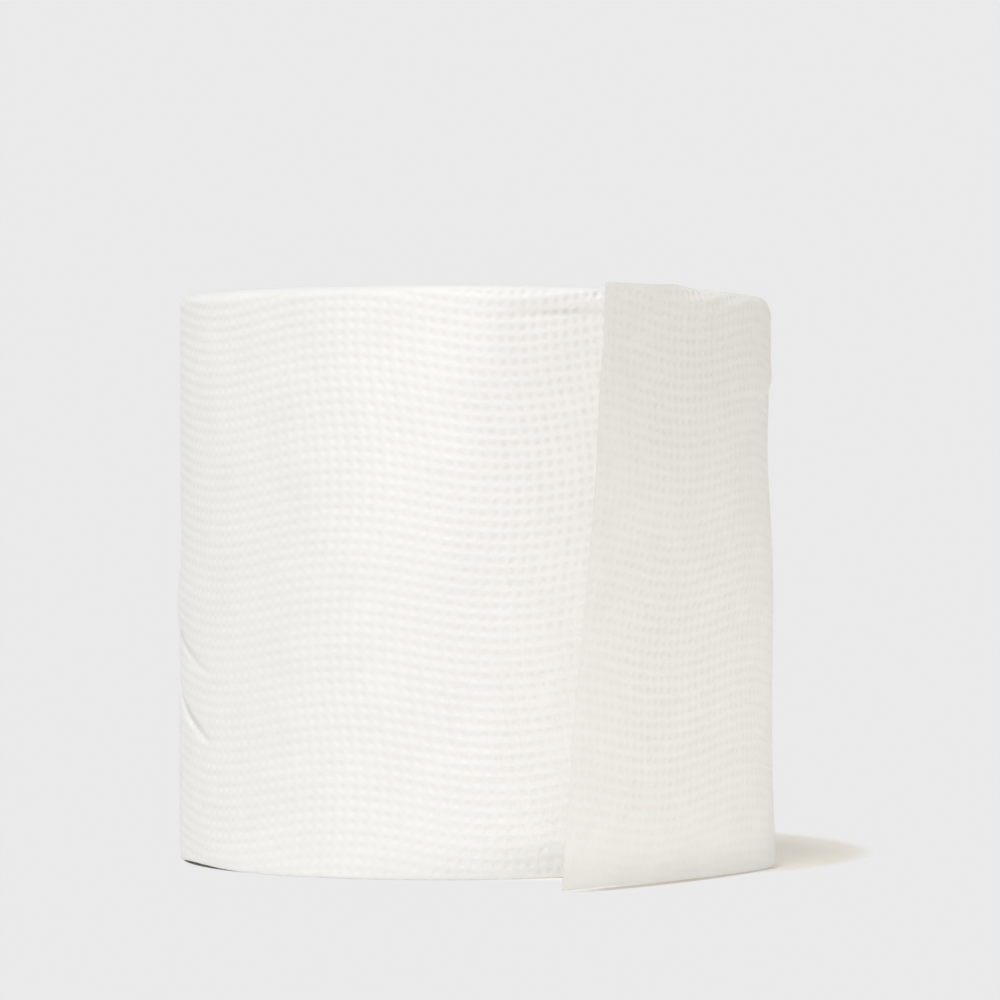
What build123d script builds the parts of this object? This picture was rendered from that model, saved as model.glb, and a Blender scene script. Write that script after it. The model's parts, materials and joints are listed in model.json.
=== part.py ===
from build123d import *
import math
import os

# A toilet paper roll that stands on its end, with the last turn of its web loose.
# Millimetres. The origin is on the axis of the cardboard core, in the plane that the roll stands on.
# +Z is up, and the loose end of the web hangs at the front right, towards -Y and +X.

# The web: one long strip of soft paper.
web_width = 100.0           # width of the strip, which is the height of the standing roll
web_thickness = 0.5         # embossed plies, with the air that the embossing holds

# The cardboard core.
core_bore_radius = 20.0     # the hole that a holder's spindle goes through
core_wall = 1.0             # two or three layers of board, wound and glued
core_glue_gap = 0.1         # between the board and the first turn

# The wound body.
roll_radius = 47.0          # outside of the tight turns
rim_round = (0.6, 1.8)      # radius of the soft outer edge at the end that it stands on, and at the upper end
rim_facets = 1              # flat bands that the soft edge is drawn with
rim_land = 0.8              # least width of the flat ring inside that edge, which the roll stands on
turns_shown = 8             # spiral ridges on each end, each for several real turns
ridge_depth = 0.6           # how far a turn's edge falls away towards the next turn
spiral_end_azimuth = 84.0   # where the outermost turn leaves the body, in degrees from +X

# The loose turn, seen from above. It leaves the body at the back, bulges out on the right, and ends in
# front of the body. Its lower edge stands out further than its upper edge, so a pair of numbers holds a
# size of the lower edge and of the upper edge.
leave_azimuth = (76.0, 89.0)        # where the web parts from the body, in degrees from +X
leave_heading = 178.0               # direction of the sheet at that place, in degrees from +X
bulge = (11.3, 11.1)                # how far it stands out from the body at its furthest to the right
bulge_ahead = (-12.0, 0.0)          # how far back, along +Y, that furthest place lies
end_azimuth = (-75.1, -65.4)        # where the free edge is, in degrees from +X
end_gap = (27.5, 17.4)              # from the body to the free edge
end_heading = (49.0, 47.0)          # direction of the sheet at its free edge, in degrees from +X
end_stiffness = (50.0, 26.0)        # length over which the sheet stays nearly straight from its free edge
bulge_stiffness_front = (13.5, 16.0)    # how gently it bends on the two sides of the bulge
bulge_stiffness_back = (30.0, 36.0)
leave_stiffness = (24.0, 31.0)          # how gently it bends away from the body
lean_drop = 1.0                     # how much lower the leaning sheet reaches than the body
tail_arcs = 20                      # arcs that each half of the loose turn is drawn with
halvings = 40                       # how finely a place of given direction is looked for on a curve

# Sizes that follow from those above.
core_outer_radius = core_bore_radius + core_wall
wound_inner_radius = core_outer_radius + core_glue_gap
ridge_outer_radius = roll_radius - max(rim_round) - rim_land
turn_pitch = (ridge_outer_radius - wound_inner_radius) / turns_shown


def polar(radius, degrees):
    """The point of the plan at this distance from the axis, in this direction."""
    return Vector(radius * math.cos(math.radians(degrees)), radius * math.sin(math.radians(degrees)))


def bezier(points, t):
    """The point of a cubic Bezier curve at t, and its direction."""
    a, b, c, d = points
    s = 1 - t
    place = a * s**3 + b * (3 * s * s * t) + c * (3 * s * t * t) + d * t**3
    heading = (b - a) * (s * s) + (c - b) * (2 * s * t) + (d - c) * (t * t)
    return place, heading.normalized()


def turned(points, t):
    """The share of its whole change of direction that a curve has made at t, if it bends one way only."""
    first, here, last = [bezier(points, s)[1] for s in (0.0, t, 1.0)]
    return first.get_angle(here) / first.get_angle(last)


def place_turned(points, share):
    """The point and the direction at which it has made that share, found by halving the range of t."""
    low, high = 0.0, 1.0
    for step in range(halvings):
        t = (low + high) / 2
        if turned(points, t) < share:
            low = t
        else:
            high = t
    return bezier(points, t)


def tail_plan(level):
    """The loose turn's middle line, at its lower edge (0) or upper edge (1): first from the free edge to the
    bulge, then from the bulge to the root."""
    free = polar(roll_radius + end_gap[level], end_azimuth[level])
    furthest = Vector(roll_radius + bulge[level], bulge_ahead[level])
    # the web's root lies inside the body, two thicknesses deep, so that the two fuse
    root = polar(roll_radius - 2 * web_thickness, leave_azimuth[level])
    front = (
        free,
        free + polar(end_stiffness[level], end_heading[level]),
        furthest - Vector(0, bulge_stiffness_front[level]),
        furthest,
    )
    back = (
        furthest,
        furthest + Vector(0, bulge_stiffness_back[level]),
        root - polar(leave_stiffness[level], leave_heading),
        root,
    )
    return front, back


def arcs(points):
    """Arcs end to end, each through three points in a row."""
    return [Edge.make_three_point_arc(*points[k:k + 3]) for k in range(0, len(points) - 2, 2)]


def tail_section(level, height):
    """The loose turn's cut outline in the plane z = height.

    A sheet bends along straight lines, at whose ends it has like directions. So the places on both edges
    are those at the same shares of each edge's turn, and the rulings between them lie as in real paper.
    """
    inner, outer = [], []
    for lower_half, half in zip(tail_plan(0), tail_plan(level)):
        for k in range(1 if outer else 0, 2 * tail_arcs + 1):
            place, heading = place_turned(half, turned(lower_half, k / (2 * tail_arcs)))
            side = Vector(heading.Y, -heading.X) * (web_thickness / 2)
            outer.append(Vector(place.X + side.X, place.Y + side.Y, height))
            inner.append(Vector(place.X - side.X, place.Y - side.Y, height))
    ends = [Edge.make_line(outer[-1], inner[-1]), Edge.make_line(inner[0], outer[0])]
    return Face(Wire([*arcs(outer), *arcs(inner), *ends]))


def ridge_profile(first, at_top):
    """What is cut away over one radius: each turn falls from its inner edge to its outer edge."""
    face = web_width if at_top else 0.0
    out = 1.0 if at_top else -1.0
    points = [(first, face + out), (first, face)]
    for k in range(1, turns_shown + 1):
        edge = first + k * turn_pitch
        points.append((edge, face - out * ridge_depth))
        points.append((edge, face if k < turns_shown else face + out))
    return Plane.XZ * make_face(Polyline(*points, close=True).edges())


def spiral_cut(at_top):
    """A spiral of half circles about two centres, half a pitch apart. Anticlockwise, it runs inwards."""
    back = revolve(ridge_profile(wound_inner_radius, at_top), Axis.Z, 180)
    front = revolve(ridge_profile(wound_inner_radius - turn_pitch / 2, at_top), Axis.Z, -180)
    both = back + Pos(-turn_pitch / 2, 0, 0) * front
    return Rot(0, 0, spiral_end_azimuth) * both


# The body of tight turns: one revolved ring, with a spiral of edges on both ends.
lower_rim, upper_rim = [
    [(roll_radius - r + r * math.sin(turn), r - r * math.cos(turn))
     for turn in [math.pi / 2 * k / rim_facets for k in range(rim_facets + 1)]]
    for r in rim_round
]
upper_rim = [(x, web_width - z) for x, z in reversed(upper_rim)]
outline = [(wound_inner_radius, 0.0), *lower_rim, *upper_rim, (wound_inner_radius, web_width)]
body = revolve(Plane.XZ * make_face(Polyline(*outline, close=True).edges()), Axis.Z)
body = body - spiral_cut(True) - spiral_cut(False)

# The loose turn: ruled between its lower and its upper edge, and in one piece with the body.
tail = loft([tail_section(0, 0.0), tail_section(1, web_width - lean_drop)], ruled=True)
paper = body + tail
paper.label = "paper_roll"

# The core: a straight tube, as long as the web is wide.
core = extrude(Circle(core_outer_radius) - Circle(core_bore_radius), web_width)
core.label = "core_tube"

os.makedirs("parts", exist_ok=True)
export_step(paper, "parts/paper_roll.step")
export_step(core, "parts/core_tube.step")

for part in (paper, core):
    box = part.bounding_box()
    print(part.label, len(part.solids()), "solid", round(part.volume), "mm3", box.min, box.max)
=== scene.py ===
# %% [markdown]
# A roll of toilet paper stands on its end. Its white web is embossed with small dots in wavy rows, its last
# turn is loose, and the free end stands off at the front right. A cardboard core, which the camera does not
# see, runs through it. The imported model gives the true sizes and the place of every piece.

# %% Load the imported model
import json
import math
import bpy
import numpy as np
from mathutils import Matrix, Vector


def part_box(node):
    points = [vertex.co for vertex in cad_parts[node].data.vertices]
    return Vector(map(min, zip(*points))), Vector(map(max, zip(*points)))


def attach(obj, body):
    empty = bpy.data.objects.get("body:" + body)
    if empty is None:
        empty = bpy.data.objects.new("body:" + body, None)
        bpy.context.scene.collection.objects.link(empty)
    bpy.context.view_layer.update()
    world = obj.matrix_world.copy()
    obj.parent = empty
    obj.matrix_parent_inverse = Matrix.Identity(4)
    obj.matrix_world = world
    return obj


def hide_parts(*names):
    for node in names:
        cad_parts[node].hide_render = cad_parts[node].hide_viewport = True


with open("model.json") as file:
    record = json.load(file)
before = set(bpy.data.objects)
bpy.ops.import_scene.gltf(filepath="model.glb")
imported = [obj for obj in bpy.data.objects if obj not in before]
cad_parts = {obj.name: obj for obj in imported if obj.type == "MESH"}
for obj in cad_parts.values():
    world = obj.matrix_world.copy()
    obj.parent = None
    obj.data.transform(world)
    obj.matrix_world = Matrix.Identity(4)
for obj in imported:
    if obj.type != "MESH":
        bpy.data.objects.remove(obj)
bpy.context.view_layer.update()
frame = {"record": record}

MM = 0.001

# %% [markdown]
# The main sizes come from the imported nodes, so that the dressed roll cannot drift from the solid one. The
# core gives the width of the web and the radius that the first turn lies on. The body's left side, where no
# loose paper hangs, gives the radius of the tight turns.

# %% Read the main sizes
core_low, core_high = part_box("core_tube")
web_width = round((core_high[2] - core_low[2]) / MM, 3)
core_outer_radius = round(core_high[0] / MM, 3)
core_bore_radius = frame["record"]["mounts"][0]["dims"]["r_mm"]
roll_radius = round(-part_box("paper_roll")[0][0] / MM, 3)
print("web", web_width, "core", core_outer_radius, "bore", core_bore_radius, "roll", roll_radius)

# %% [markdown]
# The photograph was taken from some distance with a long lens, a little above the middle of the roll. The
# camera is level and turns a little to the right, so the roll's axis lies left of the picture's middle.

# %% Set the camera
camera_distance = 770.0     # from the roll's axis
camera_height = 63.8
camera_turn = 0.7476        # degrees to the right
picture_width = 1000        # pixels
focal_pixels = 4308.0       # focal length, in those pixels
sensor_width = 36.0
clip_near, clip_far = 0.05, 50.0    # metres

camera_data = bpy.data.cameras.new("camera")
camera_data.sensor_width = sensor_width
camera_data.lens = focal_pixels / picture_width * sensor_width
camera_data.clip_start = clip_near
camera_data.clip_end = clip_far
camera = bpy.data.objects.new("camera", camera_data)
camera.location = (0.0, -camera_distance * MM, camera_height * MM)
camera.rotation_euler = (math.radians(90), 0.0, math.radians(-camera_turn))
bpy.context.scene.collection.objects.link(camera)
bpy.context.scene.camera = camera
bpy.context.scene.view_settings.view_transform = "Standard"
print("lens", round(camera_data.lens, 1), "mm")

# %% [markdown]
# Every surface here is a grid of points, worked out as whole arrays. Where a grid is squeezed against a
# border, some of its points fall together. Welding joins them, drops the faces that have no area left, and
# so closes each seam.

# %% Weld a grid
weld_step = 0.0005


def grid_quads(rows, columns, first=0):
    """Corner numbers of the faces of a grid whose points are numbered row by row, counted from `first`."""
    corner = (np.arange(rows - 1)[:, None] * columns + np.arange(columns - 1)[None, :]).ravel() + first
    return np.stack([corner, corner + columns, corner + columns + 1, corner + 1], axis=1)


def weld(points, quads):
    """Joins points that lie within a weld step.

    Returns the numbers of the points that stay, four-cornered faces, three-cornered ones, and which of the
    quads the faces come from.
    """
    keys = np.round(points / weld_step).astype(np.int64)
    first, inverse = np.unique(keys, axis=0, return_index=True, return_inverse=True)[1:]
    quads = inverse.reshape(-1)[quads]
    same = quads == np.roll(quads, -1, axis=1)
    folded = same.sum(axis=1)
    whole = (folded == 0) & (quads[:, 0] != quads[:, 2]) & (quads[:, 1] != quads[:, 3])
    fours = quads[whole]
    threes = quads[folded == 1][~same[folded == 1]].reshape(-1, 3)
    sources = np.concatenate([np.flatnonzero(whole), np.flatnonzero(folded == 1)])
    used, numbers = np.unique(np.concatenate([fours.ravel(), threes.ravel()]), return_inverse=True)
    fours, threes = numbers[:fours.size].reshape(-1, 4), numbers[fours.size:].reshape(-1, 3)
    return first[used], fours, threes, sources


# %% Make it a piece
def add_piece(name, points, quads, material, node, values=None, first_flat=None):
    """Makes an object of a welded grid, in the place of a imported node.

    `values` holds point attributes by name. Faces from the quad number `first_flat` on are shaded flat.
    """
    kept, fours, threes, sources = weld(points, quads)
    mesh = bpy.data.meshes.new(name)
    mesh.vertices.add(len(kept))
    mesh.vertices.foreach_set("co", (points[kept] * MM).ravel())
    starts = np.concatenate([np.arange(len(fours)) * 4, fours.size + np.arange(len(threes)) * 3])
    mesh.loops.add(fours.size + threes.size)
    mesh.loops.foreach_set("vertex_index", np.concatenate([fours.ravel(), threes.ravel()]))
    mesh.polygons.add(len(starts))
    mesh.polygons.foreach_set("loop_start", starts)
    mesh.update(calc_edges=True)
    mesh.polygons.foreach_set("use_smooth", sources < (len(quads) if first_flat is None else first_flat))
    for key, array in (values or {}).items():
        mesh.attributes.new(key, "FLOAT", "POINT").data.foreach_set("value", array.ravel()[kept])
    mesh.materials.append(material)
    piece = bpy.data.objects.new(name, mesh)
    bpy.context.scene.collection.objects.link(piece)
    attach(piece, "root")
    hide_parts(node)
    print(name, len(fours) * 2 + len(threes), "triangles")


# %% [markdown]
# The dots are pressed into the web in rows and columns, 51 to its width. Neither rows nor columns are
# straight: rows rise and fall along the web, and columns sway from side to side over its width. If the grid
# of the mesh follows the dots, every dot gets the same few faces, and none is drawn better than another. So
# the grid counts in dots, and whole numbers are the middles of dots.

# %% Lay out the dots
dots_across = 51
dot_pitch = web_width / dots_across
row_wave = 1.48             # how far a row rises and falls
row_wave_length = 54.7      # along the web
column_sway = 1.35          # how far a column sways
column_sway_length = 52.5   # over the width
column_sway_top = 14.0      # height at which columns stand furthest to the right
settle_rounds = 8
row_steps = 5               # steps of the grid from dot to dot across the web
seen_steps, hidden_steps = 5, 3     # and along it, in the sheets that the camera sees and in the others
sheet_rows = (-2.5, dots_across + 2.5)  # a little past both edges, however the rows wave
print("dot pitch", round(dot_pitch, 3), "mm")


def smooth_step(low, high, x):
    """0 below `low`, 1 above `high`, and an even S-shaped rise between: 3 t squared less 2 t cubed."""
    t = np.clip((x - low) / (high - low), 0.0, 1.0)
    return t * t * (3.0 - 2.0 * t)


def bump(x, middle, width):
    """A bell of height 1 round `middle`: e to the power of minus the square of the distance in widths."""
    return np.exp(-((x - middle) / width) ** 2)


def sway(height):
    """How far a column stands to the right of its mean place, at this height."""
    return column_sway * np.cos(2 * np.pi * (height - column_sway_top) / column_sway_length)


def dot_counts(columns, steps):
    """Two arrays that count in dots: along the web, between two columns, and across the whole of it."""
    along = np.linspace(*columns, round((columns[1] - columns[0]) * steps) + 1)
    across = np.linspace(*sheet_rows, round((sheet_rows[1] - sheet_rows[0]) * row_steps) + 1)
    return np.meshgrid(along, across, indexing="ij")


def settle(along, across, pitch, wave, lean, along_limits, across_limits):
    """Places of the grid's points on the flat web: distance along it and height on it.

    Distance is count times pitch plus the sway at that height; height is count times pitch plus the wave at
    that distance. Both are worked out in turn until they settle. What is past a border is held on it.
    """
    height = np.clip(across * dot_pitch, *across_limits)
    for _ in range(settle_rounds):
        distance = np.clip(along * pitch + sway(height) + lean * (height - web_width / 2), *along_limits)
        height = np.clip(across * dot_pitch + wave(distance), *across_limits)
    return distance, height


# %% [markdown]
# Each dot is a shallow round pit, deepest in its middle. Felt rollers press some harder than others, so the
# depth varies from dot to dot, and in broad patches. Soft paper is also never quite smooth: a few long, low
# waves in all directions give it that unevenness. They are taken from the place in space, so they join up
# round the roll.

# %% Press the dots
dot_radius = 0.57
dot_depth = 0.125
dot_scatter = 0.1           # how much dots differ in depth, as a share
edge_plain = 0.5            # plain strip beside an edge of the web
edge_fade = 1.3             # where the dots have their full depth
table_size = (512, 64)      # dots along and across, before their strengths repeat
dot_seed = 11
dot_strength = 1.0 + dot_scatter * np.random.default_rng(dot_seed).standard_normal(table_size)


def waves(points, length, count, seed):
    """Sum of `count` sine waves of this length in random directions, which mostly stays within 1."""
    draw = np.random.default_rng(seed)
    directions = draw.standard_normal((3, count))
    directions /= np.linalg.norm(directions, axis=0)
    turns = points @ (directions * (2 * np.pi / length)) + draw.uniform(0, 2 * np.pi, count)
    return np.sin(turns).sum(axis=-1) / math.sqrt(count)


def layered_waves(points, layers):
    """Sum of such waves in layers, each given by its height, length, count and seed."""
    return sum(height * waves(points, *layer) for height, *layer in layers)


def pit(along, across, length=1.0):
    """Depth of the dots, from 0 to 1: a bell round each pair of whole numbers, `length` times as long."""
    near_along, near_across = np.round(along), np.round(across)
    distance = dot_pitch * np.hypot((along - near_along) / length, across - near_across)
    strength = dot_strength[near_along.astype(int) % table_size[0], near_across.astype(int) % table_size[1]]
    return strength * np.exp(-(distance / dot_radius) ** 3)


def edge_plainness(height):
    """0 on the plain strips beside both edges of the web, 1 where the dots have their full depth."""
    inward = np.minimum(height, web_width - height)
    return smooth_step(edge_plain, edge_fade, inward)


# %% [markdown]
# The finishes come before the pieces that wear them. A material is a tree of nodes, which a few small
# functions build up. A Mix node's colours are its inputs 6 and 7 and its output 2.

# %% Tools for nodes
def feed(tree, node, inputs):
    """Feeds inputs of a node, each from another socket or with a plain value."""
    for name, value in inputs.items():
        if isinstance(value, bpy.types.NodeSocket):
            tree.links.new(value, node.inputs[name])
        else:
            node.inputs[name].default_value = value


def add_node(tree, kind, inputs=None, **settings):
    """Adds a node with these settings, feeds its inputs, and returns its outputs."""
    node = tree.nodes.new("ShaderNode" + kind)
    for name, value in settings.items():
        setattr(node, name, value)
    feed(tree, node, inputs or {})
    return node.outputs


def combine(tree, operation, result, *others):
    """The result of this operation on two numbers or more, from the first on."""
    for other in others:
        result = add_node(tree, "Math", {0: result, 1: other}, operation=operation)[0]
    return result


def multiply_colours(tree, amount, one, other):
    """The first colour, multiplied by the second as far as `amount` says."""
    return add_node(tree, "Mix", {0: amount, 6: one, 7: other}, data_type="RGBA", blend_type="MULTIPLY")[2]


def new_material(name):
    """A material with its tree of nodes."""
    material = bpy.data.materials.new(name)
    material.use_nodes = True
    return material, material.node_tree


# %% [markdown]
# Tissue is short wood fibres, matt and faintly warm. They are far too fine for geometry, so a bump of fine
# noise stands for them. A cloudy tint makes the sheet a little uneven. Two attributes of the mesh paint
# light and shade into the tone: one marks the pits, which get a painted tone, the other marks painted shade
# on creases, the rim, the dots beside the free end and places where less light comes through. The group
# gives tint and normal, and each paper material has its own colours.

# %% Make the group for fibres
cloud_scale, fibre_scale = 160.0, 2600.0
noise_detail = 3.0
cloud_range = (0.3, 0.7)    # of the noise, from the darkest tint to none
fibre_height = 0.00008      # metres
group_inputs = (
    ("Colour", "NodeSocketColor", (0.9, 0.88, 0.85, 1.0)),
    ("Cloud Tint", "NodeSocketFloat", 0.02),
    ("Fibre Bump", "NodeSocketFloat", 0.2),
    # the pits' tone: painted light in the wound paper's pits, painted shade in the loose sheet's
    ("Pit Tone", "NodeSocketColor", (0.9, 0.85, 0.8, 1.0)),
    # painted shade on creases, the top rim, the dots beside the free end and the loose sheet's top
    ("Edge Tone", "NodeSocketColor", (0.806, 0.80, 0.79, 1.0)),
)


def fibre_group():
    """The node group, with named inputs and outputs."""
    group = bpy.data.node_groups.new("tissue_fibres", "ShaderNodeTree")
    for name, kind, value in group_inputs:
        group.interface.new_socket(name=name, in_out="INPUT", socket_type=kind).default_value = value
    group.interface.new_socket(name="Colour", in_out="OUTPUT", socket_type="NodeSocketColor")
    group.interface.new_socket(name="Normal", in_out="OUTPUT", socket_type="NodeSocketVector")
    given = group.nodes.new("NodeGroupInput").outputs
    result = group.nodes.new("NodeGroupOutput")
    place = add_node(group, "TexCoord")["Object"]
    cloud, fine = [
        add_node(group, "TexNoise", {"Vector": place, "Scale": scale, "Detail": noise_detail})[0]
        for scale in (cloud_scale, fibre_scale)
    ]
    darkest = combine(group, "SUBTRACT", 1.0, given["Cloud Tint"])
    shade = add_node(group, "MapRange", {
        "Value": cloud, "From Min": cloud_range[0], "From Max": cloud_range[1],
        "To Min": darkest, "To Max": 1.0,
    })[0]
    colour = multiply_colours(group, 1.0, given["Colour"], shade)
    # Painted light and shade: the pits get their painted tone, and the edge attribute says where painted
    # shade falls.
    for name, tone in (("pressed", "Pit Tone"), ("edge", "Edge Tone")):
        amount = add_node(group, "Attribute", attribute_name=name)["Fac"]
        colour = multiply_colours(group, amount, colour, given[tone])
    grain = {"Strength": given["Fibre Bump"], "Distance": fibre_height, "Height": fine}
    feed(group, result, {"Colour": colour, "Normal": add_node(group, "Bump", grain)["Normal"]})
    return group


fibres = fibre_group()

# %% [markdown]
# Light also comes through a single sheet. Some is scattered in the paper and glows on the far side. Most
# finds its way between the fibres, so the sheet lets that share of the scattered light and of the lamps'
# light go straight through. Only the strip next to the floor is dense.

# %% Make the papers
paper_roughness = 0.95
paper_shine = 0.15
straight_through = 0.85     # share of that light that goes through a loose sheet
# painted light in the wound paper's pits, which makes them lighter
painted_pit_light = (1.03, 1.015, 1.005)


def through_light(tree, whole, finish, glow):
    """The shader of a loose sheet, made from that of whole paper: `glow` is the share that it scatters."""
    inputs = {"Color": finish["Colour"], "Normal": finish["Normal"]}
    scattered = add_node(tree, "BsdfTranslucent", inputs)[0]
    sheet = add_node(tree, "MixShader", {0: glow, 1: whole, 2: scattered})[0]
    rays = add_node(tree, "LightPath")
    passing = combine(tree, "ADD", rays["Is Diffuse Ray"], rays["Is Shadow Ray"])
    dense = add_node(tree, "Attribute", attribute_name="dense")["Fac"]
    passing = combine(tree, "MULTIPLY", passing, combine(tree, "SUBTRACT", 1.0, dense), straight_through)
    clear = add_node(tree, "BsdfTransparent")[0]
    return add_node(tree, "MixShader", {0: passing, 1: sheet, 2: clear})[0]


def paper_material(name, colour, cloud_tint, fibre_bump, painted_pit_tone=painted_pit_light, glow=0.0):
    """Matt tissue of this colour, with the group's fibres. With a `glow`, light comes through it."""
    material, tree = new_material(name)
    finish = add_node(tree, "Group", {
        "Colour": (*colour, 1.0), "Cloud Tint": cloud_tint,
        "Fibre Bump": fibre_bump, "Pit Tone": (*painted_pit_tone, 1.0),
    }, node_tree=fibres)
    paper = tree.nodes["Principled BSDF"]
    feed(tree, paper, {
        "Roughness": paper_roughness, "Specular IOR Level": paper_shine,
        "Base Color": finish["Colour"], "Normal": finish["Normal"],
    })
    if glow > 0:
        sheet = through_light(tree, paper.outputs["BSDF"], finish, glow)
        feed(tree, tree.nodes["Material Output"], {"Surface": sheet})
    return material


# The wound paper's pits get painted light; the loose sheet's darker pit tone is painted shade.
wound_paper = paper_material("wound_paper", (0.93, 0.925, 0.905), 0.02, 0.25)
loose_paper = paper_material("loose_paper", (0.89, 0.876, 0.85), 0.02, 0.25, (0.95, 0.935, 0.91), 0.20)
cut_edges = paper_material("cut_edges", (0.88, 0.86, 0.83), 0.03, 0.4)
print("paper", [m.name for m in (wound_paper, loose_paper, cut_edges)])

# %% [markdown]
# The tight turns show as a wall, which is upright and rounded at both ends, more at the top than where the
# roll presses on the floor. A height on the web becomes a place on that profile: straight up, then round a
# small arc. Its rows of dots have a crest and a trough that face the camera, and the length of the wave
# changes a little round the back, so that a whole number of waves closes the ring.

# %% Shape the wall
rim_bottom, rim_top = 0.12, 1.8
quarter = math.pi / 2
wall_low = -(quarter - 1) * rim_bottom
wall_high = web_width + (quarter - 1) * rim_top
girth = 2 * math.pi * roll_radius
wall_columns = round(girth / dot_pitch)
wall_pitch = girth / wall_columns
waves_round = 5
crest_count = 0.3271        # share of a wave that lies before the front line
wall_lean = -math.tan(math.radians(1.0))
front_line = -quarter       # the line of the wall nearest to the camera, as an angle from +X


def wall_wave(distance):
    """Rise of the rows on the wall: a cosine with its true length in front and a longer one at the back."""
    even = waves_round / girth
    extra = 1 / row_wave_length - even
    count = even * distance + extra * roll_radius * np.sin(distance / roll_radius) + crest_count
    return row_wave * np.cos(2 * np.pi * count)


def wall_profile(height):
    """Radius, height, and the two parts of the outward normal, for a height along the bent profile."""
    up = np.clip((height - (web_width - rim_top)) / rim_top, 0.0, quarter)
    down = np.clip((rim_bottom - height) / rim_bottom, 0.0, quarter)
    radius = roll_radius - rim_top * (1 - np.cos(up)) - rim_bottom * (1 - np.cos(down))
    level = np.clip(height, rim_bottom, web_width - rim_top)
    level = level + rim_top * np.sin(up) - rim_bottom * np.sin(down)
    return radius, level, np.cos(up) * np.cos(down), np.sin(up) - np.sin(down)


# %% [markdown]
# Handling has left marks: two slanting creases low on the left, with a low swelling above them, and a fold
# just under the rim at the right, where the loose end pulls at it. Lower left, the outermost turn has also
# slid up a little, so that a dark gap shows under it. Distances run to the right from the front line.

# %% Mark the wall
creases = (                 # first end, second end, strength
    ((-77.0, 42.8), (-53.0, 35.0), 0.35),
    ((-77.0, 33.8), (-52.0, 23.2), 0.75),
    ((14.0, 95.4), (42.0, 96.2), 0.42),
)
crease_depth, crease_width = 0.9, 0.8
crease_fade = 7.0           # on both sides of a crease's ends
# the creases also get painted shade, in a strip this wide along each line
painted_crease_shade_width = 0.5
swelling = 0.55
swelling_along, swelling_up = (-74.0, 9.0), (45.5, 6.0)     # middle and width, both ways
slid_up = 0.62
slid_along = (-56.0, 12.0)      # middle and width
slid_height = 9.0               # from the web's lower edge


def groove(distance, height, start, end, width, fade):
    """A bell across the line between two places on the web: 1 on it, fading within `fade` of its ends."""
    start, end = np.array(start), np.array(end)
    length = np.linalg.norm(end - start)
    way = (end - start) / length
    forward = (distance - start[0]) * way[0] + (height - start[1]) * way[1]
    sideways = (height - start[1]) * way[0] - (distance - start[0]) * way[1]
    ends = smooth_step(-fade, fade, forward) * (1 - smooth_step(length - fade, length + fade, forward))
    return np.exp(-(sideways / width) ** 2) * ends


def crease_lines(distance, height, width):
    """The creases: for each a bell across its line, times how strong it is."""
    return sum(strength * groove(distance, height, start, end, width, crease_fade)
               for start, end, strength in creases)


def wall_marks(distance, height):
    """How far the wall stands out or in at the marks that handling has left."""
    out = swelling * bump(distance, *swelling_along) * bump(height, *swelling_up)
    return out - crease_depth * crease_lines(distance, height, crease_width)


def wall_lift(distance, height):
    """How far the outermost turn has slid up: most at its lower edge, lower left."""
    return slid_up * bump(distance, *slid_along) * (1 - smooth_step(0.0, slid_height, height))


# %% [markdown]
# On the front right, beside the free end, the dots are deeper, and higher up they also get painted shade,
# which makes them look darker. The wall is two pieces: the part that faces the camera, with finer faces,
# and the back.

# %% Build the wall
wall_front = (-39.5, 27.5)  # columns of dots in the front part, counted from the front line
dot_deeper = 2.0            # how much deeper, as a share
deeper_from, deeper_to = (-12.0, 24.0), (60.0, 120.0)
# painted shade in the deeper dots beside the free end: how much of the crease's painted shade they get
painted_dot_shade = 0.40           # how much of the tone of a crease those dots have
painted_dot_shade_up = (25.0, 75.0)    # it grows between these heights
# painted shade on the top rim, which tones down the light it catches; full this far before the wall's end
painted_rim_shade_end = 0.6          # that tone is full this far before the wall's end
wall_patches = ((0.12, 38.0, 9, 3),)
wall_layers = ((0.12, 60.0, 7, 4), (0.035, 13.0, 9, 5))
calm_edge = 2.0             # the waves are whole this far in from both edges


def wall_points(columns, steps):
    """Points of the wall between two columns of dots, their faces and attributes."""
    along, across = dot_counts(columns, steps)
    distance, height = settle(along, across, wall_pitch, wall_wave, wall_lean,
                              (-np.inf, np.inf), (wall_low, wall_high))
    radius, level, out_part, up_part = wall_profile(height)
    angle = distance / roll_radius + front_line
    round_x, round_y = np.cos(angle), np.sin(angle)
    place = np.stack([roll_radius * round_x, roll_radius * round_y, level], axis=-1)
    pressed = pit(along, across) * edge_plainness(height)
    pressed *= 1 + layered_waves(place, wall_patches)
    spread = (distance + girth / 2) % girth - girth / 2
    deeper = smooth_step(*deeper_from, spread) * (1 - smooth_step(*deeper_to, spread))
    push = -dot_depth * (1 + dot_deeper * deeper) * pressed + wall_marks(spread, height)
    calm = smooth_step(wall_low, calm_edge, height)
    calm *= 1 - smooth_step(web_width - calm_edge, wall_high, height)
    push += layered_waves(place, wall_layers) * calm
    radius = radius + push * out_part
    level = level + push * up_part + wall_lift(spread, height)
    points = np.stack([radius * round_x, radius * round_y, level], axis=-1)
    # painted shade on the top rim
    edge = smooth_step(web_width - rim_top, wall_high - painted_rim_shade_end, height)
    # painted shade along the creases
    edge += crease_lines(spread, height, painted_crease_shade_width)
    # painted shade in the deeper dots beside the free end, growing towards the top
    edge += painted_dot_shade * deeper * smooth_step(*painted_dot_shade_up, height) * pressed
    return points.reshape(-1, 3), grid_quads(*along.shape), {"pressed": pressed, "edge": edge}


wall_back = (wall_front[1], wall_front[0] + wall_columns)
for name, *part in (("wall_front", wall_front, seen_steps), ("wall_back", wall_back, hidden_steps)):
    points, quads, values = wall_points(*part)
    add_piece(name, points, quads, wound_paper, "paper_roll", values)

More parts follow.
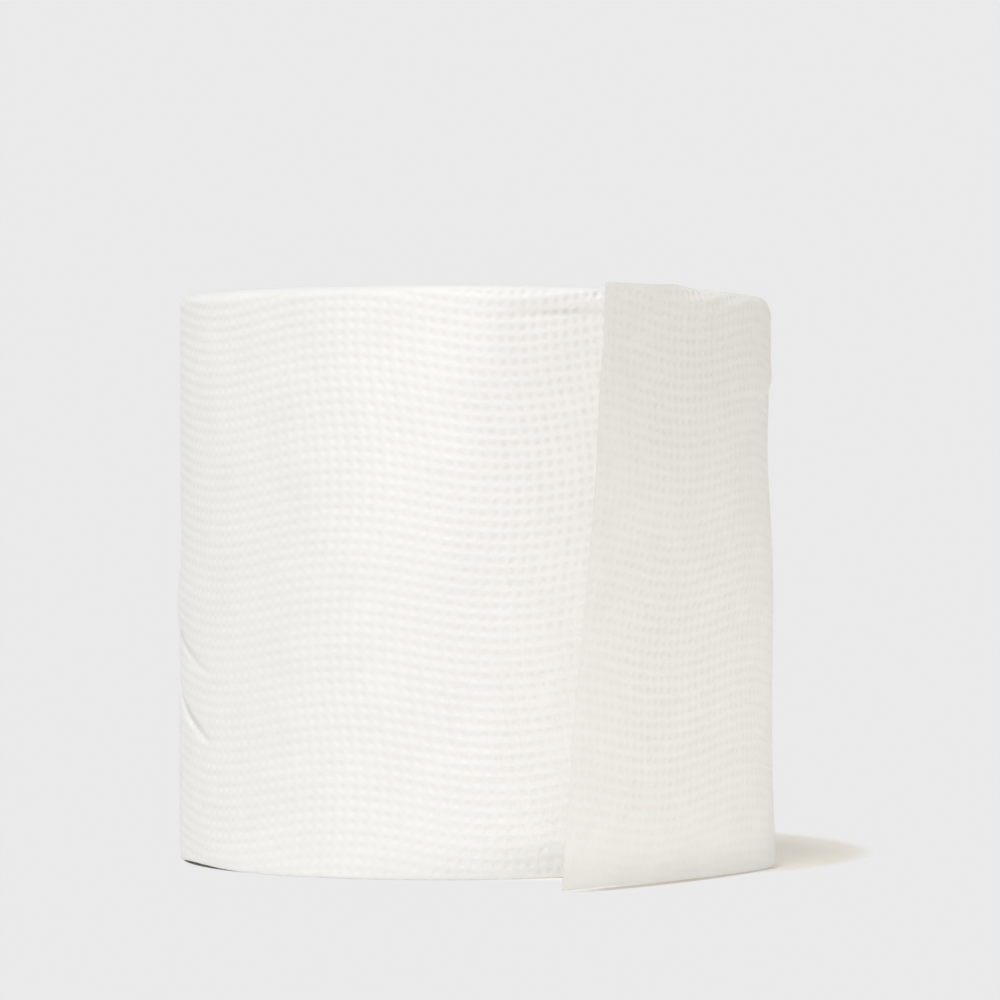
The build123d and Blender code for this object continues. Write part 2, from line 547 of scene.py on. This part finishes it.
# %% [markdown]
# Seen from above, the loose turn leaves the wall at the back, bulges out on the right and ends in front of
# the body. Its lower and upper edges follow two curves, each made of two Bezier curves, as on the solid
# model. A sheet bends along straight lines, and at both ends of such a line it has the same direction. So
# points of the two edges are joined where both have made the same share of their turn. Each pair of numbers
# is for the lower and the upper edge.

# %% Draw the edges of the loose turn
web_thickness = 0.5
curve_steps = 240
leave_azimuth = (76.0, 89.0)    # where the web parts from the body, in degrees from +X
leave_heading = 178.0           # direction of the sheet there, in degrees from +X
bulge = (11.3, 11.1)            # how far it stands out from the body at its furthest to the right
bulge_ahead = (-12.0, 0.0)      # how far back that furthest place lies
end_azimuth = (-75.1, -65.4)    # where the free edge is
end_gap = (27.5, 17.4)          # from the body to the free edge
end_heading = (49.0, 47.0)      # direction of the sheet at its free edge
end_stiffness = (50.0, 26.0)    # length over which it stays nearly straight from there
bulge_stiffness_front = (13.5, 16.0)
bulge_stiffness_back = (30.0, 36.0)
leave_stiffness = (24.0, 31.0)
lean_drop = 1.0                 # how much lower the leaning sheet reaches than the body


def polar(radius, degrees):
    """The point of the plan at this distance from the axis, in this direction."""
    return radius * np.array([math.cos(math.radians(degrees)), math.sin(math.radians(degrees))])


def bezier(points, t):
    """Points of a cubic Bezier curve, and its headings in degrees from +X, anticlockwise."""
    a, b, c, d = points
    t = t[:, None]
    s = 1 - t
    place = a * s**3 + 3 * b * s**2 * t + 3 * c * s * t**2 + d * t**3
    way = (b - a) * s**2 + 2 * (c - b) * s * t + (d - c) * t**2
    return place, np.degrees(np.arctan2(way[:, 1], way[:, 0])) % 360


def edge_plan(level):
    """The plan of the lower edge (0) or upper edge (1): free edge to bulge, and bulge to root."""
    free = polar(roll_radius + end_gap[level], end_azimuth[level])
    furthest = np.array([roll_radius + bulge[level], bulge_ahead[level]])
    root = polar(roll_radius - 2 * web_thickness, leave_azimuth[level])
    back_way = np.array([0.0, 1.0])
    front = (free, free + polar(end_stiffness[level], end_heading[level]),
             furthest - back_way * bulge_stiffness_front[level], furthest)
    back = (furthest, furthest + back_way * bulge_stiffness_back[level],
            root - polar(leave_stiffness[level], leave_heading), root)
    return front, back


def matched_edges():
    """Plans of both edges, point by point at equal shares of their turns, and the headings there."""
    even = np.linspace(0.0, 1.0, curve_steps + 1)
    plans, headings = ([], []), ([], [])
    for lower_half, upper_half in zip(edge_plan(0), edge_plan(1)):
        lower_turn = bezier(lower_half, even)[1]
        share = (lower_turn - lower_turn[0]) / (lower_turn[-1] - lower_turn[0])
        for level, half in enumerate((lower_half, upper_half)):
            turn = bezier(half, even)[1]
            made = np.maximum.accumulate((turn - turn[0]) / (turn[-1] - turn[0]))
            place, heading = bezier(half, np.interp(share, made, even))
            plans[level].append(place)
            headings[level].append(heading)
    joined = [np.concatenate([first, second[1:]]) for first, second in (*plans, *headings)]
    return np.stack(joined[:2]), np.stack(joined[2:])


edge_places, edge_headings = matched_edges()
edge_lengths = np.linalg.norm(np.diff(edge_places, axis=1), axis=2).sum(axis=1)
print("loose turn", [round(float(length), 1) for length in edge_lengths], "mm")

# %% [markdown]
# The dots are spaced evenly along the sheet, not along the plan of one edge. So the distance from the free
# edge is measured at several heights, and a table turned the other way round tells, for a distance and a
# height, which of the straight lines runs through it.

# %% Measure along the loose turn
edge_levels = 9             # heights at which the distance is measured
table_steps = 800
line_numbers = np.arange(edge_places.shape[1], dtype=float)
level_shares = np.linspace(0.0, 1.0, edge_levels)
level_plans = edge_places[0] + (edge_places[1] - edge_places[0]) * level_shares[:, None, None]
level_steps = np.linalg.norm(np.diff(level_plans, axis=1), axis=2)
level_distances = np.concatenate([np.zeros((edge_levels, 1)), np.cumsum(level_steps, axis=1)], axis=1)
loose_length = float(level_distances.max())
table_distances = np.linspace(0.0, loose_length, table_steps)
line_table = np.stack([np.interp(table_distances, one, line_numbers) for one in level_distances])
print("loose length", round(loose_length, 1), "mm")


def between(table, row, column):
    """Values of a table at fractional rows and columns, mixed from the four entries round each place."""
    row = np.clip(row, 0, table.shape[0] - 1 - 1e-9)
    column = np.clip(column, 0, table.shape[1] - 1 - 1e-9)
    r, c = row.astype(int), column.astype(int)
    u, v = row - r, column - c
    near = table[r, c] * (1 - v) + table[r, c + 1] * v
    far = table[r + 1, c] * (1 - v) + table[r + 1, c + 1] * v
    return near * (1 - u) + far * u


def loose_surface(distance, share):
    """Place on the plan, and heading, at this distance from the free edge and this share of the width."""
    line = between(line_table, share * (edge_levels - 1), distance / loose_length * (table_steps - 1))
    tables = (edge_places[:, :, 0], edge_places[:, :, 1], edge_headings)
    x, y, heading = [between(table, share, line) for table in tables]
    return x, y, np.radians(heading)


# %% [markdown]
# The free corner is lifted off the floor, and the free edge is not quite straight. The bulge is pulled in
# at two heights, and near the top run two shallow folds. Distances are counted from the free edge.

# %% Shape the loose turn
corner_lift, corner_lift_length = 0.45, 40.0
upper_lift = 0.8            # in front, the upper edge stands nearly as high as the body
upper_lift_end = (60.0, 100.0)
upper_crown = (0.1, 12.0, 10.0)     # height, place and width of a low crown of that edge
bow_bells = ((0.95, 63.0, 22.0), (0.35, 92.0, 8.0), (-0.2, 12.0, 8.0))  # how far, height, width
pull_from, pull_to = (34.0, 56.0), (95.0, 120.0)
pull_bells = ((-0.75, 72.0, 12.0), (-0.4, 26.0, 13.0))      # how far, height, width
folds = (                   # how far, first end, second end, width, fade
    (-0.45, (40.0, 80.5), (66.0, 83.0), 1.1, 5.0),
    (0.4, (40.0, 83.0), (66.0, 86.0), 2.0, 5.0),
    (0.40, (13.0, 84.0), (22.0, 84.9), 0.7, 2.5),
    (-0.25, (13.0, 82.6), (22.0, 83.5), 0.8, 2.5),
)


def bells(height, shapes):
    """Sum of bells over the height, each given by its size, middle and width."""
    return sum(size * bump(height, middle, width) for size, middle, width in shapes)


def loose_marks(distance, height):
    """How far the sheet stands out or in where it is pulled and folded."""
    side = smooth_step(*pull_from, distance) * (1 - smooth_step(*pull_to, distance))
    out = side * bells(height, pull_bells)
    for size, start, end, width, fade in folds:
        out += size * groove(distance, height, start, end, width, fade)
    return out


def upper_edge(distance):
    """Height at which the upper edge stands."""
    size, middle, width = upper_crown
    front = 1 - smooth_step(*upper_lift_end, distance)
    return web_width - lean_drop + upper_lift * front + size * bump(distance, middle, width)


# %% [markdown]
# Away from the free edge, the upper edge rolls inwards on a small arc, with fine puckers, and rises a bit.
# The sheet's dots are pulled longer along it, and press both sides. They fade towards the free edge, the
# root and the floor. The free edge and the lower edge are thinner than the rest.

# %% Roll and emboss the loose turn
curl_radius, curl_width = 2.0, 3.0
curl_from, curl_rise = (11.0, 29.0), 0.9
pucker_depth, pucker_length = 0.2, 1.05
pucker_drift = ((1.5, 9.0, 5, 16),)     # waves that shift the puckers
loose_dot_depth = 0.50
loose_dot_length = 1.3
inner_dot_share = 0.8       # how deep they are on the inner side
trough_distance = 24.0      # where the rows of dots are lowest
border_fade = (0.3, 1.2)    # beside the free edge and the root
low_dots, low_dots_end = 0.3, (2.0, 20.0)       # what is left of them at the floor, and how far up
free_dots, free_dots_end = 0.45, (4.0, 24.0)    # what is lost beside the free edge, and how far in
loose_patches = ((0.12, 38.0, 9, 13),)
loose_layers = ((0.16, 55.0, 7, 14), (0.05, 14.0, 9, 15))
loose_calm = 4.0            # the waves are whole this far up
thin_edge, thin_free, thin_low = 0.1, 2.5, 2.0  # share of the thickness, and where it is whole


def loose_wave(distance):
    """Rise of the rows on the loose turn: lowest some way in from the free edge."""
    return -row_wave * np.cos(2 * np.pi * (distance - trough_distance) / row_wave_length)


def loose_pressed(along, across, distance, height, place):
    """How deep each point is pressed, from 0 to about 1."""
    pressed = pit(along, across, loose_dot_length) * edge_plainness(height)
    pressed *= smooth_step(*border_fade, distance) * smooth_step(*border_fade, loose_length - distance)
    low = low_dots + (1 - low_dots) * smooth_step(*low_dots_end, height)
    pressed *= (1 + layered_waves(place, loose_patches)) * low
    return pressed * (1 - free_dots * (1 - smooth_step(*free_dots_end, distance)))


def curl(distance, height, place):
    """How far the rolled edge stands out, below 0 where it goes inwards, and how far up."""
    past = np.clip(height - (web_width - curl_width), 0.0, None) * smooth_step(*curl_from, distance)
    turn = past / curl_radius
    drift = layered_waves(place, pucker_drift)
    pucker = pucker_depth * np.sin(2 * np.pi * distance / pucker_length + drift) * (past > 0)
    out = pucker * smooth_step(0.0, curl_width, past) - curl_radius * (1 - np.cos(turn))
    return out, curl_radius * np.sin(turn) - past + curl_rise * past / curl_width


# %% [markdown]
# Now the two sides are put together. The upper part gets painted shade, greyer towards the top, where less
# light comes through, and the strip next to the floor is dense.

# %% Build the loose turn
# painted shade towards the top of the loose sheet: its strength, and the heights over which it grows
painted_top_shade, painted_top_shade_up = 0.42, (25.0, 95.0)
dense_up = (1.5, 9.0)       # where the dense strip ends
loose_split = 34.5          # column of dots at which the piece in front ends


def loose_points(columns, steps):
    """Points of the loose turn, outer and inner side, between two columns of dots, and its attributes."""
    along, across = dot_counts(columns, steps)
    distance, height = settle(along, across, dot_pitch, loose_wave, 0.0,
                              (0.0, loose_length), (0.0, web_width))
    share = height / web_width
    bowed = distance + bells(height, bow_bells) * (1 - distance / loose_length)
    x, y, heading = loose_surface(np.clip(bowed, 0, None), share)
    out_x, out_y = np.sin(heading), -np.cos(heading)
    lift = corner_lift * (1 - smooth_step(0.0, corner_lift_length, distance)) * (1 - share)
    level = lift + share * upper_edge(distance)
    place = np.stack([x, y, level], axis=-1)
    pressed = loose_pressed(along, across, distance, height, place)
    uneven = layered_waves(place, loose_layers) * smooth_step(0.0, loose_calm, height)
    curl_out, curl_up = curl(distance, height, place)
    push = loose_marks(distance, height) + uneven + curl_out
    level = level + curl_up
    full = smooth_step(0.0, thin_free, distance) * smooth_step(0.0, thin_low, height)
    thick = web_thickness * (thin_edge + (1 - thin_edge) * full)
    sides = []
    for side, depth in ((0.5, loose_dot_depth), (-0.5, inner_dot_share * loose_dot_depth)):
        stand = push + side * thick - depth * pressed
        sides.append(np.stack([x + out_x * stand, y + out_y * stand, level], axis=-1))
    dense = 1 - smooth_step(*dense_up, height)
    # painted shade, greyer towards the top
    edge = painted_top_shade * smooth_step(*painted_top_shade_up, height)
    return along.shape, sides, {"pressed": pressed, "dense": dense, "edge": edge}


def loose_shell(columns, steps, first_closed, last_closed):
    """A closed sheet: outer faces, inner faces turned round, and strips along its edges."""
    shape, (outer, inner), values = loose_points(columns, steps)
    count = shape[0] * shape[1]
    points = np.concatenate([outer.reshape(-1, 3), inner.reshape(-1, 3)])
    number = np.arange(count).reshape(shape)
    quads = [grid_quads(*shape), grid_quads(*shape, first=count)[:, ::-1]]
    first_flat = len(quads[0]) + len(quads[1])
    borders = [number[::-1, 0], number[:, -1]]
    borders += [number[0, :]] if first_closed else []
    borders += [number[-1, ::-1]] if last_closed else []
    for line in borders:
        quads.append(np.stack([line[:-1], line[1:], line[1:] + count, line[:-1] + count], axis=1)[:, ::-1])
    values = {name: np.stack([value, value]) for name, value in values.items()}
    return points, np.concatenate(quads), values, first_flat


first_column = -1.5         # a little past the free edge, however the columns sway
last_column = math.ceil(loose_length / dot_pitch) - first_column
for name, *part in (("free_end", (first_column, loose_split), seen_steps, True, False),
                    ("loose_turn", (loose_split, last_column), hidden_steps, False, True)):
    points, quads, values, first_flat = loose_shell(*part)
    add_piece(name, points, quads, loose_paper, "paper_roll", values, first_flat)

# %% [markdown]
# Both ends of the body show the edges of its turns, a spiral of some fifty. The edges are soft and each
# stands at its own height, which drifts as the turn goes round, and in broad rings. The grid's lines follow
# the spiral, a few to a turn, so every cleft between two turns is drawn alike, and the seam closes one turn
# further in.

# %% Wind the ends
wound_inner_radius = core_outer_radius + 0.1    # the glue is a tenth of a millimetre
end_seeds = {True: 21, False: 22}               # top and bottom
turn_knots = 64             # turns for which heights are drawn
knots_round = 8             # heights drawn for each
drift_depth, ring_depth, cleft_depth = 0.22, 0.18, 0.28
ring_count = 8
rim_level = 0.9             # strip beside the rim, over which the end becomes level
end_layers = ((0.05, 17.0, 7, 23),)
slid_radii = (30.0, 46.0)   # at the bottom, the turns slide up between these, as the outermost has


def end_points(at_top, steps, lines):
    """Points of one end, in `steps` round it, whose radius falls by a web thickness anticlockwise."""
    outer_radius = roll_radius - (rim_top if at_top else rim_bottom)
    turns = (outer_radius - wound_inner_radius) / web_thickness
    count = np.arange(0, round((turns + 2) * lines) + 1) / lines
    turn, angle = np.meshgrid(count, np.linspace(0.0, 2 * np.pi, steps + 1), indexing="ij")
    total = turn - angle / (2 * np.pi)
    radius = np.clip(wound_inner_radius + total * web_thickness, wound_inner_radius, outer_radius)
    share = (radius - wound_inner_radius) / (outer_radius - wound_inner_radius)
    knots = np.random.default_rng(end_seeds[at_top]).uniform(0.0, 1.0, turn_knots * knots_round)
    drift = np.interp(total * knots_round, np.arange(len(knots)), knots)
    rings = 0.5 - 0.5 * np.cos(2 * np.pi * share * ring_count)
    cleft = np.abs(2 * (total - np.floor(total)) - 1) ** 3
    fade = smooth_step(0.0, rim_level, outer_radius - radius)
    depth = (drift_depth * drift + ring_depth * rings + cleft_depth * cleft) * fade
    x, y = radius * np.cos(angle), radius * np.sin(angle)
    depth = np.clip(depth + layered_waves(np.stack([x, y, depth], axis=-1), end_layers) * fade, 0.0, None)
    level = web_width - depth if at_top else depth
    if not at_top:
        spread = (angle - front_line + np.pi) % (2 * np.pi) - np.pi
        level = level + wall_lift(spread * roll_radius, 0.0) * smooth_step(*slid_radii, radius)
    quads = grid_quads(*turn.shape)
    return np.stack([x, y, level], axis=-1).reshape(-1, 3), quads[:, ::-1] if at_top else quads


for name, at_top, steps, lines in (("turns_top", True, 360, 4), ("turns_bottom", False, 240, 3)):
    points, quads = end_points(at_top, steps, lines)
    add_piece(name, points, quads, cut_edges, "paper_roll")

# %% [markdown]
# The core is grey-brown board, wound in a slanting spiral from strips, so a seam runs round it like the
# thread of a wide screw. The grid's columns slant with the seam. The section of the tube is one closed
# line: up the outside, over a softly broken edge, down the bore and back.

# %% Wind the core
core_lead = 92.0            # height that the seam gains in one round
core_columns = 96
core_rows = 100
core_break = 0.2
seam_depth = 0.12
seam_width = 0.06
same_radius = 0.01          # how near to the bore's radius its points lie


def core_points():
    """Points of the tube: a closed section, and each point turned on by its height over the lead."""
    up = np.linspace(core_break, web_width - core_break, core_rows + 1)
    outside = np.stack([np.full_like(up, core_outer_radius), up], axis=1)
    bore = np.stack([np.full_like(up, core_bore_radius), up[::-1]], axis=1)
    inner, outer = core_bore_radius + core_break, core_outer_radius - core_break
    top = [[outer, web_width], [inner, web_width]]
    bottom = [[inner, 0.0], [outer, 0.0]]
    section = np.concatenate([outside, top, bore, bottom, outside[:1]])
    turn = np.linspace(0.0, 2 * np.pi, core_columns + 1)
    radius, turn = np.meshgrid(section[:, 0], turn, indexing="ij")
    level = np.broadcast_to(section[:, 1][:, None], radius.shape)
    seam = np.exp(-(np.sin(turn / 2) / seam_width) ** 2)
    in_bore = np.abs(radius - core_bore_radius) < same_radius
    radius = radius + np.where(in_bore, seam_depth * seam, 0.0)
    angle = turn + 2 * np.pi * level / core_lead
    points = np.stack([radius * np.cos(angle), radius * np.sin(angle), level], axis=-1)
    return points.reshape(-1, 3), grid_quads(*radius.shape)[:, ::-1]


# %% [markdown]
# Recycled board is speckled with short darker fibres that lie round the tube, and it has a fine tooth.

# %% Finish the core
board_roughness = 0.85
board_stretch = (1.0, 1.0, 4.0)     # makes the speckle short upwards
speckle_scale, speckle_detail = 900.0, 5.0
board_tones = ((0.3, (0.20, 0.145, 0.095)), (0.68, (0.42, 0.33, 0.235)))    # place on the ramp, colour
tooth_height, tooth_strength = 0.0001, 0.5      # metres, share


def board_material():
    """Grey-brown board, its tone and its tooth from one noise."""
    material, tree = new_material("core_board")
    place = add_node(tree, "TexCoord")["Object"]
    stretched = add_node(tree, "Mapping", {"Vector": place, "Scale": board_stretch})[0]
    speckle = add_node(tree, "TexNoise", {
        "Vector": stretched, "Scale": speckle_scale, "Detail": speckle_detail,
    })[0]
    ramp = tree.nodes.new("ShaderNodeValToRGB")
    feed(tree, ramp, {"Fac": speckle})
    for stop, (position, colour) in zip(ramp.color_ramp.elements, board_tones):
        stop.position = position
        stop.color = (*colour, 1.0)
    tooth = {"Strength": tooth_strength, "Distance": tooth_height, "Height": speckle}
    feed(tree, tree.nodes["Principled BSDF"], {
        "Roughness": board_roughness, "Base Color": ramp.outputs["Color"],
        "Normal": add_node(tree, "Bump", tooth)["Normal"],
    })
    return material


points, quads = core_points()
add_piece("core", points, quads, board_material(), "core_tube")

# %% [markdown]
# The studio is a pale grey floor that runs out of sight. Far from the roll the floor, like the sky behind
# it, shows the same grey to the camera whatever light falls on it, so no horizon shows. It is a real matt
# surface in three places: under the roll, on the disc that takes the shadow thrown to the right, and on a
# narrow strip before the free end. Close under the sheet's lower edge that strip has a painted shadow, a
# deeper tone where hardly any light gets in.

# %% Say where the floor is real
floor_middle = (0.0, 0.0, 0.0)
under_reach = (0.0466, 0.0462)      # from the middle: under the roll
shadow_place = (0.013, 0.016, 0.0)  # middle of the shadow that the key lamp throws
shadow_reach = (0.0655, 0.0615)
shadow_from = (0.0, 0.02)           # along X
shadow_keep = 0.75                  # how much of the light and shade on that disc is real
sheet_middle = (-0.0822, 0.045, 0.0)    # of a circle that the lower edge of the free end follows
sheet_reach = (0.1567, 0.1554)      # from there: just in front of that edge
# the painted shadow grows from there to just behind the sheet's lower edge
painted_shadow_reach = (0.1510, 0.1530)      # from there: just behind it
sheet_ends = ((0.019, 0.027), (0.0595, 0.057))  # along X
sheet_far = (0.082, 0.078)          # from the middle


def rise(tree, value, limits, top=1.0):
    """A number that goes from 0 to `top` as the value goes from the first limit to the second."""
    given = {"Value": value, "From Min": limits[0], "From Max": limits[1], "To Max": top}
    return add_node(tree, "MapRange", given)[0]


def rise_from(tree, place, point, limits, top=1.0):
    """The same, by the distance from a point."""
    distance = add_node(tree, "VectorMath", {0: place, 1: point}, operation="DISTANCE")["Value"]
    return rise(tree, distance, limits, top)


def floor_places(tree):
    """How real the floor is, and how far it has the painted shadow under the sheet, both from 0 to 1."""
    place = add_node(tree, "TexCoord")["Object"]
    x = add_node(tree, "SeparateXYZ", {"Vector": place})["X"]
    under = rise_from(tree, place, floor_middle, under_reach)
    thrown = rise_from(tree, place, shadow_place, shadow_reach, shadow_keep)
    thrown = combine(tree, "MULTIPLY", thrown, rise(tree, x, shadow_from))
    before = rise_from(tree, place, sheet_middle, sheet_reach)
    far = rise_from(tree, place, floor_middle, sheet_far)
    before = combine(tree, "MULTIPLY", before, far, *[rise(tree, x, limits) for limits in sheet_ends])
    # the painted shadow, just behind the sheet's lower edge
    painted_shadow = combine(tree, "MULTIPLY", before, rise_from(tree, place, sheet_middle, painted_shadow_reach))
    return combine(tree, "MAXIMUM", under, thrown, before), painted_shadow


# %% Lay the floor
background = (0.823, 0.823, 0.823, 1.0)     # the grey of the background, as light
floor_tone = (0.90, 0.85, 0.74, 1.0)
# painted shadow close under the sheet's lower edge
painted_contact_shadow = (0.66, 0.62, 0.56, 1.0)
bounce_tone = (0.86, 0.85, 0.83, 1.0)       # a white table, for the light that it throws up on the roll
floor_size = 8.0                            # metres


def floor_material():
    """A matt floor which, for the camera, turns into the even background away from the roll."""
    material, tree = new_material("floor")
    tree.nodes.remove(tree.nodes["Principled BSDF"])
    real, painted_shadow = floor_places(tree)
    seen = add_node(tree, "LightPath")["Is Camera Ray"]
    # the floor's tone turns into the painted shadow close under the sheet
    tone = add_node(tree, "Mix", {0: painted_shadow, 6: floor_tone, 7: painted_contact_shadow}, data_type="RGBA")[2]
    tone = add_node(tree, "Mix", {0: seen, 6: bounce_tone, 7: tone}, data_type="RGBA")[2]
    matt = add_node(tree, "BsdfDiffuse", {"Color": tone})[0]
    even = add_node(tree, "Emission", {"Color": background})[0]
    away = combine(tree, "MULTIPLY", combine(tree, "SUBTRACT", 1.0, real), seen)
    blend = add_node(tree, "MixShader", {0: away, 1: matt, 2: even})[0]
    feed(tree, tree.nodes["Material Output"], {"Surface": blend})
    return material


def add_floor():
    """One large square at the height that the roll stands on."""
    half = floor_size / 2
    mesh = bpy.data.meshes.new("floor")
    corners = [(-half, -half, 0.0), (half, -half, 0.0), (half, half, 0.0), (-half, half, 0.0)]
    mesh.from_pydata(corners, [], [(0, 1, 2, 3)])
    mesh.materials.append(floor_material())
    floor = bpy.data.objects.new("floor", mesh)
    bpy.context.scene.collection.objects.link(floor)


add_floor()

# %% [markdown]
# The light of the photograph is soft and comes from all over the front. The key lamp is small and high up,
# a little to the left and in front: it throws the short warm shadow at the right, and it grazes the wall,
# which makes the dots show. Three larger lamps, in front, overhead and at the left, and one low at the
# right, which lights the loose sheet from its side, give the rest of the shape. An even sky fills in.

# %% Light the studio
sky_strength = 0.48
sky_colour = (1.0, 0.985, 0.97, 1.0)
key_way = (-0.17, -0.12, 1.0)
key_distance = 1.3
key_place = np.array(key_way) / np.linalg.norm(key_way) * key_distance
lamps = (                   # name, place and size in metres, power in watts, colour
    ("key", key_place, 0.10, 3.9, (0.80, 0.91, 1.0)),
    ("fill", (-0.2, -1.5, 0.35), 0.5, 1.0, (1.0, 0.99, 0.98)),
    ("overhead", (0.1, -0.75, 1.4), 0.5, 3.6, (1.0, 0.99, 0.98)),
    ("left", (-0.75, -0.55, 1.3), 0.5, 5.6, (1.0, 0.99, 0.98)),
    ("low", (0.9, -0.6, 0.10), 0.25, 3.0, (1.0, 0.98, 0.95)),
)


def add_lamp(name, place, size, power, colour):
    """A square area lamp at this place, aimed at the middle of the roll."""
    data = bpy.data.lights.new(name, "AREA")
    data.shape = "SQUARE"
    data.size = size
    data.energy = power
    data.color = colour
    lamp = bpy.data.objects.new(name, data)
    lamp.location = place
    way = np.array([0.0, 0.0, web_width / 2 * MM]) - np.array(place)
    tilt = math.acos(-way[2] / np.linalg.norm(way))
    lamp.rotation_euler = (tilt, 0.0, math.atan2(way[0], -way[1]) + math.pi)
    bpy.context.scene.collection.objects.link(lamp)


def light_sky():
    """An even sky that lights the roll softly, and that the camera sees as the grey background."""
    world = bpy.data.worlds.new("sky")
    bpy.context.scene.world = world
    world.use_nodes = True
    tree = world.node_tree
    light = tree.nodes["Background"]
    feed(tree, light, {"Color": sky_colour, "Strength": sky_strength})
    even = add_node(tree, "Background", {"Color": background})[0]
    seen = add_node(tree, "LightPath")["Is Camera Ray"]
    blend = add_node(tree, "MixShader", {0: seen, 1: light.outputs[0], 2: even})[0]
    feed(tree, tree.nodes["World Output"], {"Surface": blend})


for lamp_values in lamps:
    add_lamp(*lamp_values)
light_sky()
